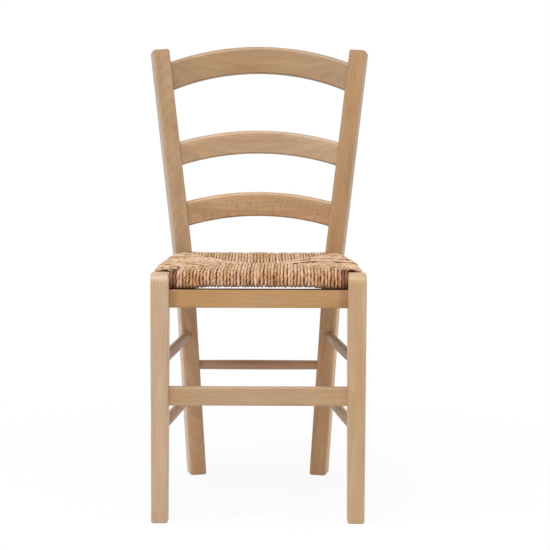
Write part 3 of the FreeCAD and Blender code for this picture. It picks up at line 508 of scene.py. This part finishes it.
def strand_tree():
    """Geometry Nodes that turn lines into twisted two-leaf strands."""
    tree = bpy.data.node_groups.new("twisted_strands", "GeometryNodeTree")
    face = tree.interface
    face.new_socket("Lines", in_out="INPUT", socket_type="NodeSocketGeometry")
    face.new_socket("Strand radius", in_out="INPUT", socket_type="NodeSocketFloat")
    face.new_socket("Ring step", in_out="INPUT", socket_type="NodeSocketFloat")
    face.new_socket("Twists a metre", in_out="INPUT", socket_type="NodeSocketFloat")
    face.new_socket("Sideways", in_out="INPUT", socket_type="NodeSocketVector")
    face.new_socket("Finish", in_out="INPUT", socket_type="NodeSocketMaterial")
    face.new_socket("Seed", in_out="INPUT", socket_type="NodeSocketFloat")
    face.new_socket("Strands", in_out="OUTPUT", socket_type="NodeSocketGeometry")
    given = tree.nodes.new("NodeGroupInput").outputs

    def store(geometry, name, value, kind="FLOAT"):
        return add(tree, "GeometryNodeStoreNamedAttribute",
                   {"Geometry": geometry, "Name": name, "Value": value},
                   data_type=kind, domain="POINT").outputs["Geometry"]

    def stored(name, kind="FLOAT"):
        return add(tree, "GeometryNodeInputNamedAttribute", {"Name": name}, data_type=kind).outputs[0]

    # A line's radius brings the tone of its strand, and each point knows how far along it lies
    brought = add(tree, "GeometryNodeInputRadius").outputs[0]
    tagged = store(given["Lines"], "strand_tone", brought)
    even = add(tree, "GeometryNodeResampleCurve", {"Curve": tagged, "Length": given["Ring step"]},
               mode="LENGTH").outputs["Curve"]
    length_along = add(tree, "GeometryNodeSplineParameter").outputs["Length"]
    tone = stored("strand_tone")
    along = add(tree, "ShaderNodeMath", {0: tone, 1: 97.0, 2: length_along},
                operation="MULTIPLY_ADD").outputs[0]
    along = maths(tree, "ADD", along, given["Seed"])
    marked = store(even, "along", along)

    # The strand thickens and thins, and wanders a little where a leaf ends
    spot = add(tree, "ShaderNodeCombineXYZ", {"X": along, "Y": tone}).outputs[0]
    swell = noise(tree, spot, scale=34.0)
    thick = fade(tree, swell, 0.3, 0.7, 0.88, 1.06)
    radius = maths(tree, "MULTIPLY", thick, given["Strand radius"])
    twist_way = noise(tree, spot, scale=11.0)
    twist_rate = fade(tree, twist_way, 0.3, 0.7, -0.9, 0.9)
    turns = maths(tree, "MULTIPLY", along, given["Twists a metre"])
    tilt = maths(tree, "MULTIPLY", maths(tree, "ADD", turns, twist_rate), math.tau)
    tilted = add(tree, "GeometryNodeSetCurveTilt", {"Curve": marked, "Tilt": tilt}).outputs["Curve"]
    sized = add(tree, "GeometryNodeSetCurveRadius", {"Curve": tilted, "Radius": radius}).outputs["Curve"]

    # The centre and the outward direction go along, to tell the crown of a strand from its crevice
    place = add(tree, "GeometryNodeInputPosition").outputs[0]
    cored = store(sized, "core", place, "FLOAT_VECTOR")
    tangent = add(tree, "GeometryNodeInputTangent").outputs[0]
    outward = add(tree, "ShaderNodeVectorMath", {0: tangent, 1: given["Sideways"]},
                  operation="CROSS_PRODUCT").outputs[0]
    faced = store(cored, "outward", outward, "FLOAT_VECTOR")

    # Two leaves twisted together: a ring with two lobes and a flat ribbed skin
    ring = add(tree, "GeometryNodeCurvePrimitiveCircle", {"Resolution": 14, "Radius": 1.0}).outputs["Curve"]
    around = add(tree, "GeometryNodeSplineParameter").outputs["Factor"]
    ringed = store(ring, "around", around)
    angle = maths(tree, "MULTIPLY", around, math.tau)
    lobes = maths(tree, "COSINE", maths(tree, "MULTIPLY", angle, 2.0))
    ribs = maths(tree, "COSINE", maths(tree, "MULTIPLY", angle, 5.0))
    bumps = add(tree, "ShaderNodeMath", {0: lobes, 1: 0.17, 2: 0.90}, operation="MULTIPLY_ADD").outputs[0]
    skin = add(tree, "ShaderNodeMath", {0: ribs, 1: 0.05, 2: bumps}, operation="MULTIPLY_ADD").outputs[0]
    where = add(tree, "GeometryNodeInputPosition").outputs[0]
    pushed = add(tree, "ShaderNodeVectorMath", {0: where, "Scale": skin}, operation="SCALE").outputs[0]
    section = add(tree, "GeometryNodeSetPosition", {"Geometry": ringed, "Position": pushed}).outputs[0]

    body = add(tree, "GeometryNodeCurveToMesh", {"Curve": faced, "Profile Curve": section,
                                                 "Scale": radius, "Fill Caps": True})
    shell = body.outputs["Mesh"]
    core = stored("core", "FLOAT_VECTOR")
    out = stored("outward", "FLOAT_VECTOR")
    here = add(tree, "GeometryNodeInputPosition").outputs[0]
    arm = add(tree, "ShaderNodeVectorMath", {0: here, 1: core}, operation="SUBTRACT").outputs[0]
    height = add(tree, "ShaderNodeVectorMath", {0: arm, 1: out}, operation="DOT_PRODUCT").outputs[1]
    crown = maths(tree, "DIVIDE", height, given["Strand radius"])
    crowned = store(shell, "crown", crown)
    smooth = add(tree, "GeometryNodeSetShadeSmooth", {"Geometry": crowned, "Shade Smooth": True}).outputs[0]
    real = add(tree, "GeometryNodeRealizeInstances", {"Geometry": smooth}).outputs[0]
    coated = add(tree, "GeometryNodeSetMaterial",
                 {"Geometry": real, "Material": given["Finish"]}).outputs[0]
    add(tree, "NodeGroupOutput", {"Strands": coated})
    return tree


def rush_finish(name, edge_top, edge_low, pale, light):
    """Dry rush: straw, cream, pinkish and green-brown leaves, with painted shade deep between the strands.
    Painted shade browns the side of a strand between two heights of it, edge_top and edge_low; pale
    lifts the leaves towards cream; light is a painted brightness and tint for the field."""
    material = bpy.data.materials.new(name)
    material.use_nodes = True
    tree = material.node_tree
    shader = tree.nodes["Principled BSDF"]

    def carried(name):
        return add(tree, "ShaderNodeAttribute", attribute_name=name).outputs["Fac"]

    along, around = carried("along"), carried("around")
    tone, crown = carried("strand_tone"), carried("crown")
    # Leaves change along a strand, and the two leaves of a strand differ
    leaf = maths(tree, "FLOOR", maths(tree, "MULTIPLY", around, 2.0))
    patch = add(tree, "ShaderNodeCombineXYZ", {"X": maths(tree, "MULTIPLY", along, 30.0),
                                               "Y": maths(tree, "MULTIPLY", leaf, 3.7)}).outputs[0]
    leaves = noise(tree, patch, roughness=0.6)
    spread = fade(tree, leaves, 0.3, 0.7, -0.42, 0.42)
    shade = ramp(tree, maths(tree, "ADD", tone, spread, True),
                 [(0.0, linear(156, 102, 64)), (0.25, linear(190, 142, 100)), (0.5, linear(214, 174, 134)),
                  (0.75, linear(230, 196, 162)), (1.0, linear(243, 220, 195))])
    shade = mix(tree, pale, shade, linear(228, 194, 166))
    hue = noise(tree, patch, scale=0.43, detail=0.0)
    greenish = fade(tree, hue, 0.6, 0.75, 0.0, 0.5)
    tinted = mix(tree, greenish, shade, linear(190, 160, 96))
    pinkish = fade(tree, hue, 0.42, 0.3, 0.0, 0.5)
    tinted = mix(tree, pinkish, tinted, linear(214, 166, 148))
    # Fine fibres along the leaf
    lines = add(tree, "ShaderNodeCombineXYZ", {"X": maths(tree, "MULTIPLY", along, 90.0),
                                               "Y": maths(tree, "MULTIPLY", around, 18.0)}).outputs[0]
    fibre = noise(tree, lines, detail=3.0, roughness=0.7)
    fibre_dark = fade(tree, fibre, 0.54, 0.36, 0.0, 0.50)
    fibred = mix(tree, fibre_dark, tinted, linear(132, 82, 44))
    # Painted light: each field's colour is scaled by its own brightness and tint
    lit = mix(tree, 1.0, fibred, light, "MULTIPLY")
    # Painted shade in the crevices: the sides of each strand, and the slits where its leaves part, are
    # darkened
    crevice_shade = fade(tree, crown, edge_top, edge_low, 0.0, 0.68)
    crevice_shaded = mix(tree, crevice_shade, lit, linear(152, 106, 70))
    parting = fade(tree, leaves, 0.60, 0.40, 0.25, 1.0)
    gap_shade = fade(tree, crown, 0.54, 0.22, 0.0, parting)
    deep = mix(tree, gap_shade, crevice_shaded, linear(72, 40, 22))
    # Painted shade: where the front wraps hang down over the rail, away from the light above, they are made
    # a deeper gold than the top
    place = place_on(tree)
    front_face_shade = fade(tree, place["Y"], -0.220, -0.232)
    deep = mix(tree, front_face_shade, deep, (1.0, 0.86, 0.78, 1), "MULTIPLY")
    # Painted shade on the underside: it is darkened towards the bottom, where it curls under
    under = fade(tree, place["Z"], 0.4365, 0.4290, 0.0, 0.9)
    deep = mix(tree, under, deep, linear(74, 42, 22))
    # Painted deep shade on the first wraps beside each leg: they are made dark brown
    first = fade(tree, tone, 0.07, 0.05, 0.0, 0.6)
    deep = mix(tree, first, deep, linear(92, 56, 40))
    tree.links.new(deep, shader.inputs["Base Color"])
    bump = add(tree, "ShaderNodeBump", {"Height": fibre, "Strength": 0.5, "Distance": 0.0006})
    tree.links.new(bump.outputs["Normal"], shader.inputs["Normal"])
    shader.inputs["Specular IOR Level"].default_value = 0.22
    rough = fade(tree, fibre, 0.0, 1.0, 0.5, 0.7)
    tree.links.new(rough, shader.inputs["Roughness"])
    return material


FRONT_FINISH = rush_finish("rush_strands", 0.88, 0.26, 0.0, (0.98, 1.045, 1.10, 1))
SIDE_FINISH = rush_finish("rush_side_strands", 0.66, 0.08, 0.12, (0.87, 0.865, 0.83, 1))
RUSH_TREE = strand_tree()


def wound_field(field, seed):
    """A whole field of strands as one mesh."""
    dice = random.Random(seed)
    curve = bpy.data.curves.new(f"rush_{field}_lines", "CURVE")
    curve.dimensions = "3D"
    for tone, points in field_lines(field, dice):
        spline = curve.splines.new("NURBS")
        spline.points.add(len(points) - 1)
        for point, place in zip(spline.points, points):
            point.co = (*place, 1)
            point.radius = tone
        spline.order_u = 3
        spline.use_endpoint_u = True
        spline.resolution_u = 6
    piece = bpy.data.objects.new(f"rush_{field}_lines", curve)
    bpy.context.scene.collection.objects.link(piece)
    nodes = piece.modifiers.new("strands", "NODES")
    nodes.node_group = RUSH_TREE
    sideways = (1, 0, 0) if field in ("front", "rear") else (0, 1, 0)
    if field in ("front", "right"):
        sideways = tuple(-part for part in sideways)
    finish = FRONT_FINISH if field in ("front", "rear") else SIDE_FINISH
    inputs = {"Strand radius": STRAND * FULLNESS, "Ring step": 0.0024, "Twists a metre": 36.0,
              "Sideways": sideways, "Finish": finish, "Seed": float(seed)}
    for socket in RUSH_TREE.interface.items_tree:
        if socket.name in inputs:
            nodes[socket.identifier] = inputs[socket.name]
    seen = piece.evaluated_get(bpy.context.evaluated_depsgraph_get())
    mesh = bpy.data.meshes.new_from_object(seen, preserve_all_data_layers=True,
                                           depsgraph=bpy.context.evaluated_depsgraph_get())
    bpy.data.objects.remove(piece)
    mesh.name = f"rush_{field}"
    wound = bpy.data.objects.new(f"rush_{field}", mesh)
    bpy.context.scene.collection.objects.link(wound)
    return wound


for number, field in enumerate(("front", "rear", "left", "right")):
    strands = wound_field(field, 40 + number)
    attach(strands, "root")
    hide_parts("rush_seat")


# The floor under the chair, plain and pale. It runs to pure white away from the feet, and keeps
# the soft shadow of the legs.
def pale_floor():
    size = 30.0
    mesh = bpy.data.meshes.new("floor")
    mesh.from_pydata([(-size, -size, 0), (size, -size, 0), (size, size, 0), (-size, size, 0)], [],
                     [(0, 1, 2, 3)])
    floor = bpy.data.objects.new("floor", mesh)
    bpy.context.scene.collection.objects.link(floor)
    material = bpy.data.materials.new("pale_floor")
    material.use_nodes = True
    tree = material.node_tree
    tree.nodes.clear()
    matt = add(tree, "ShaderNodeBsdfDiffuse", {"Color": (0.86, 0.86, 0.86, 1)}).outputs[0]
    glow = add(tree, "ShaderNodeEmission", {"Color": (1, 1, 1, 1), "Strength": 1.0}).outputs[0]
    rays = add(tree, "ShaderNodeLightPath").outputs
    seen = maths(tree, "MAXIMUM", rays["Is Camera Ray"],
                 maths(tree, "MAXIMUM", rays["Is Glossy Ray"], rays["Is Transmission Ray"]))
    place = add(tree, "ShaderNodeTexCoord").outputs["Object"]
    away = add(tree, "ShaderNodeVectorMath", {0: place}, operation="LENGTH").outputs["Value"]
    white = fade(tree, away, 0.35, 1.1, 0.90, 1.0)
    share = maths(tree, "MULTIPLY", seen, white)
    both = add(tree, "ShaderNodeMixShader", {0: share, 1: matt, 2: glow}).outputs[0]
    add(tree, "ShaderNodeOutputMaterial", {"Surface": both})
    mesh.materials.append(material)
    return floor


floor = pale_floor()


# Soft studio light. A white room that is brighter overhead, a wide lamp above the front and a
# weaker one on each side.
def studio():
    scene = bpy.context.scene
    world = bpy.data.worlds.new("white_room")
    world.use_nodes = True
    tree = world.node_tree
    tree.nodes.clear()
    rays = add(tree, "ShaderNodeLightPath").outputs
    seen = maths(tree, "MAXIMUM", rays["Is Camera Ray"],
                 maths(tree, "MAXIMUM", rays["Is Glossy Ray"], rays["Is Transmission Ray"]))
    way = add(tree, "ShaderNodeSeparateXYZ", {0: add(tree, "ShaderNodeTexCoord").outputs["Generated"]})
    rising = fade(tree, way.outputs["Z"], 0.0, 0.9, 0.50, 0.66)
    room = add(tree, "ShaderNodeBackground", {"Color": (0.97, 0.98, 1, 1), "Strength": rising}).outputs[0]
    white = add(tree, "ShaderNodeBackground", {"Color": (1, 1, 1, 1), "Strength": 1.0}).outputs[0]
    both = add(tree, "ShaderNodeMixShader", {0: seen, 1: room, 2: white}).outputs[0]
    add(tree, "ShaderNodeOutputWorld", {"Surface": both})
    scene.world = world

    def lamp(name, place, target, size, power):
        light = bpy.data.lights.new(name, "AREA")
        light.shape = "DISK"
        light.size = size
        light.energy = power
        thing = bpy.data.objects.new(name, light)
        aim = (Vector(target) - Vector(place)).to_track_quat("-Z", "Y")
        thing.matrix_world = Matrix.Translation(place) @ aim.to_matrix().to_4x4()
        scene.collection.objects.link(thing)

    lamp("lamp_above", (-0.5, -1.3, 3.1), (0, 0, 0.45), 2.0, 59)
    lamp("lamp_left", (-2.6, -1.2, 1.4), (0, 0, 0.45), 1.2, 20)
    lamp("lamp_right", (2.6, -1.2, 1.4), (0, 0, 0.45), 1.2, 19)


studio()


# The camera. It stands three metres in front, a little above the seat and almost square to the
# chair, and looks slightly down through a long lens.
def camera():
    lens_data = bpy.data.cameras.new("camera")
    lens_data.sensor_width = 36.0
    lens_data.lens = 101.8
    lens_data.shift_x = 0.0298
    lens_data.clip_end = 100.0
    viewer = bpy.data.objects.new("camera", lens_data)
    viewer.matrix_world = (Matrix.Translation((0, -2.9986, 0.7352))
                           @ Matrix.Rotation(math.radians(90 - 5.82), 4, "X")
                           @ Matrix.Rotation(math.radians(0.2), 4, "Z"))
    bpy.context.scene.collection.objects.link(viewer)
    bpy.context.scene.camera = viewer


camera()
bpy.context.scene.view_settings.view_transform = "Standard"
